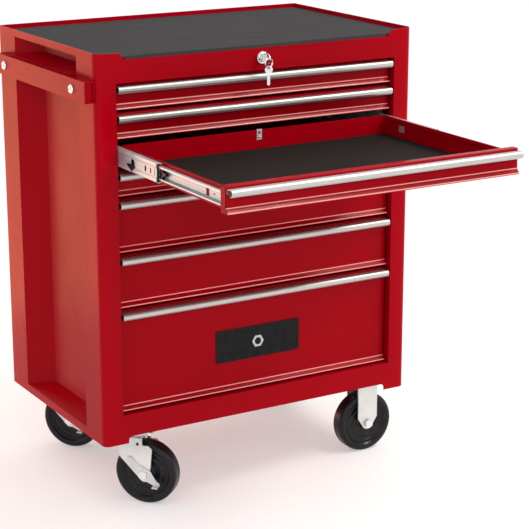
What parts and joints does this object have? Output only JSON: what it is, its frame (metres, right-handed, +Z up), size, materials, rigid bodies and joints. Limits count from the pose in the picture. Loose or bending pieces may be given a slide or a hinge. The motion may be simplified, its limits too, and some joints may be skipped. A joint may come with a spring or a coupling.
{
  "type": "rolling tool cabinet",
  "caption": "Rolling tool cabinet of red painted sheet steel with ball-bearing drawers, a ribbed top mat, a lock, a side push handle, two braked swivel castors and two rigid castors.",
  "frame": {"origin": "on the floor, in the middle of the whole footprint with the third drawer open", "axes": "+X to the cabinet's right seen from the front, +Y to its back, +Z up; the drawers open towards -Y"},
  "size_m": [0.7048, 0.845, 0.88],
  "materials": {
    "red_paint": "gloss powder coat, bright red",
    "pull_aluminium": "satin anodised, drawn along its length",
    "zinc_plate": "bright zinc plate",
    "chrome": "polished",
    "ribbed_mat": "matt, with fine parallel ribs",
    "wheel_rubber": "semi-matt moulded rubber",
    "black_plastic": "satin"
  },
  "bodies": {
    "cabinet": {"front_frame": "red_paint", "left_side": "red_paint", "right_side": "red_paint", "back_panel": "red_paint", "bottom_panel": "red_paint", "top_panel": "red_paint", "top_mat": "ribbed_mat", "left_slide_rack": "zinc_plate", "right_slide_rack": "zinc_plate", "side_handle": "red_paint", "side_handle_bolt_1": "chrome", "side_handle_bolt_2": "chrome", "grip_shelf": "red_paint", "lock_housing": "chrome", "castor_front_left_plate": "zinc_plate", "castor_rear_left_plate": "zinc_plate", "castor_front_right_fork": "zinc_plate", "castor_front_right_axle": "chrome", "castor_rear_right_fork": "zinc_plate", "castor_rear_right_axle": "chrome"},
    "lock_barrel": {"lock_barrel": "chrome", "key": "chrome", "lock_rod": "zinc_plate"},
    "lock_bar": {"lock_bar": "zinc_plate"},
    "drawer_1": {"drawer_1_box": "red_paint", "drawer_1_pull": "pull_aluminium"},
    "drawer_1_middle_slides": {"drawer_1_middle_slide_left": "zinc_plate"},
    "drawer_2": {"drawer_2_box": "red_paint", "drawer_2_pull": "pull_aluminium"},
    "drawer_2_middle_slides": {"drawer_2_middle_slide_left": "zinc_plate"},
    "drawer_3": {"drawer_3_box": "red_paint", "drawer_3_pull": "pull_aluminium", "drawer_3_inner_slide_left": "zinc_plate", "drawer_3_inner_slide_right": "zinc_plate", "drawer_3_mat": "ribbed_mat"},
    "drawer_3_middle_slides": {"drawer_3_middle_slide_left": "zinc_plate", "drawer_3_middle_slide_right": "zinc_plate"},
    "drawer_4": {"drawer_4_box": "red_paint", "drawer_4_pull": "pull_aluminium"},
    "drawer_4_middle_slides": {"drawer_4_middle_slide_left": "zinc_plate"},
    "drawer_5": {"drawer_5_box": "red_paint", "drawer_5_pull": "pull_aluminium"},
    "drawer_5_middle_slides": {"drawer_5_middle_slide_left": "zinc_plate"},
    "drawer_6": {"drawer_6_box": "red_paint", "drawer_6_pull": "pull_aluminium"},
    "drawer_6_middle_slides": {"drawer_6_middle_slide_left": "zinc_plate"},
    "drawer_7": {"drawer_7_box": "red_paint", "drawer_7_pull": "pull_aluminium", "nameplate": "black_plastic"},
    "drawer_7_middle_slides": {"drawer_7_middle_slide_left": "zinc_plate"},
    "castor_front_left_swivel": {"castor_front_left_fork": "zinc_plate", "castor_front_left_axle": "chrome"},
    "castor_front_left_wheel": {"castor_front_left_wheel": "wheel_rubber"},
    "castor_front_left_brake_lever": {"castor_front_left_brake_lever": "zinc_plate"},
    "castor_rear_left_swivel": {"castor_rear_left_fork": "zinc_plate", "castor_rear_left_axle": "chrome"},
    "castor_rear_left_wheel": {"castor_rear_left_wheel": "wheel_rubber"},
    "castor_rear_left_brake_lever": {"castor_rear_left_brake_lever": "zinc_plate"},
    "castor_front_right_wheel": {"castor_front_right_wheel": "wheel_rubber"},
    "castor_rear_right_wheel": {"castor_rear_right_wheel": "wheel_rubber"}
  },
  "joints": [
    {"name": "lock_turn", "type": "hinge", "parent": "cabinet", "child": "lock_barrel", "pos_m": [0.0124, -0.0135, 0.848], "axis": [0, 1, 0], "range_deg": [0, 90]},
    {"name": "lock_bar_slide", "type": "slide", "parent": "cabinet", "child": "lock_bar", "axis": [0, 0, -1], "range_m": [0, 0.008]},
    {"name": "drawer_1_slide", "type": "slide", "parent": "cabinet", "child": "drawer_1", "axis": [0, -1, 0], "range_m": [0, 0.406]},
    {"name": "drawer_1_middle_slide", "type": "slide", "parent": "cabinet", "child": "drawer_1_middle_slides", "axis": [0, -1, 0], "range_m": [0, 0.203]},
    {"name": "drawer_2_slide", "type": "slide", "parent": "cabinet", "child": "drawer_2", "axis": [0, -1, 0], "range_m": [0, 0.406]},
    {"name": "drawer_2_middle_slide", "type": "slide", "parent": "cabinet", "child": "drawer_2_middle_slides", "axis": [0, -1, 0], "range_m": [0, 0.203]},
    {"name": "drawer_3_slide", "type": "slide", "parent": "cabinet", "child": "drawer_3", "axis": [0, -1, 0], "range_m": [-0.406, 0]},
    {"name": "drawer_3_middle_slide", "type": "slide", "parent": "cabinet", "child": "drawer_3_middle_slides", "axis": [0, -1, 0], "range_m": [-0.203, 0]},
    {"name": "drawer_4_slide", "type": "slide", "parent": "cabinet", "child": "drawer_4", "axis": [0, -1, 0], "range_m": [0, 0.406]},
    {"name": "drawer_4_middle_slide", "type": "slide", "parent": "cabinet", "child": "drawer_4_middle_slides", "axis": [0, -1, 0], "range_m": [0, 0.203]},
    {"name": "drawer_5_slide", "type": "slide", "parent": "cabinet", "child": "drawer_5", "axis": [0, -1, 0], "range_m": [0, 0.406]},
    {"name": "drawer_5_middle_slide", "type": "slide", "parent": "cabinet", "child": "drawer_5_middle_slides", "axis": [0, -1, 0], "range_m": [0, 0.203]},
    {"name": "drawer_6_slide", "type": "slide", "parent": "cabinet", "child": "drawer_6", "axis": [0, -1, 0], "range_m": [0, 0.406]},
    {"name": "drawer_6_middle_slide", "type": "slide", "parent": "cabinet", "child": "drawer_6_middle_slides", "axis": [0, -1, 0], "range_m": [0, 0.203]},
    {"name": "drawer_7_slide", "type": "slide", "parent": "cabinet", "child": "drawer_7", "axis": [0, -1, 0], "range_m": [0, 0.406]},
    {"name": "drawer_7_middle_slide", "type": "slide", "parent": "cabinet", "child": "drawer_7_middle_slides", "axis": [0, -1, 0], "range_m": [0, 0.203]},
    {"name": "castor_front_left_turn", "type": "hinge", "parent": "cabinet", "child": "castor_front_left_swivel", "pos_m": [-0.2336, 0.0305, 0.14], "axis": [0, 0, 1], "continuous": true},
    {"name": "castor_front_left_spin", "type": "hinge", "parent": "castor_front_left_swivel", "child": "castor_front_left_wheel", "pos_m": [-0.22337, 0.0182, 0.0625], "axis": [0.769, 0.6392, 0], "continuous": true},
    {"name": "castor_front_left_brake", "type": "hinge", "parent": "castor_front_left_swivel", "child": "castor_front_left_brake_lever", "pos_m": [-0.22337, 0.0182, 0.0625], "axis": [0.769, 0.6392, 0], "range_deg": [0, 15]},
    {"name": "castor_rear_left_turn", "type": "hinge", "parent": "cabinet", "child": "castor_rear_left_swivel", "pos_m": [-0.2336, 0.3705, 0.14], "axis": [0, 0, 1], "continuous": true},
    {"name": "castor_rear_left_spin", "type": "hinge", "parent": "castor_rear_left_swivel", "child": "castor_rear_left_wheel", "pos_m": [-0.22337, 0.3582, 0.0625], "axis": [0.769, 0.6392, 0], "continuous": true},
    {"name": "castor_rear_left_brake", "type": "hinge", "parent": "castor_rear_left_swivel", "child": "castor_rear_left_brake_lever", "pos_m": [-0.22337, 0.3582, 0.0625], "axis": [0.769, 0.6392, 0], "range_deg": [0, 15]},
    {"name": "castor_front_right_spin", "type": "hinge", "parent": "cabinet", "child": "castor_front_right_wheel", "pos_m": [0.2824, 0.0355, 0.0625], "axis": [0, 1, 0], "continuous": true},
    {"name": "castor_rear_right_spin", "type": "hinge", "parent": "cabinet", "child": "castor_rear_right_wheel", "pos_m": [0.2824, 0.3685, 0.0625], "axis": [0, 1, 0], "continuous": true}
  ],
  "couplings": [
    {"joint": "lock_turn", "follows": "lock_bar_slide", "rad_per_m": 196.3},
    {"joint": "drawer_1_middle_slide", "follows": "drawer_1_slide", "ratio": 0.5},
    {"joint": "drawer_2_middle_slide", "follows": "drawer_2_slide", "ratio": 0.5},
    {"joint": "drawer_3_middle_slide", "follows": "drawer_3_slide", "ratio": 0.5},
    {"joint": "drawer_4_middle_slide", "follows": "drawer_4_slide", "ratio": 0.5},
    {"joint": "drawer_5_middle_slide", "follows": "drawer_5_slide", "ratio": 0.5},
    {"joint": "drawer_6_middle_slide", "follows": "drawer_6_slide", "ratio": 0.5},
    {"joint": "drawer_7_middle_slide", "follows": "drawer_7_slide", "ratio": 0.5}
  ]
}
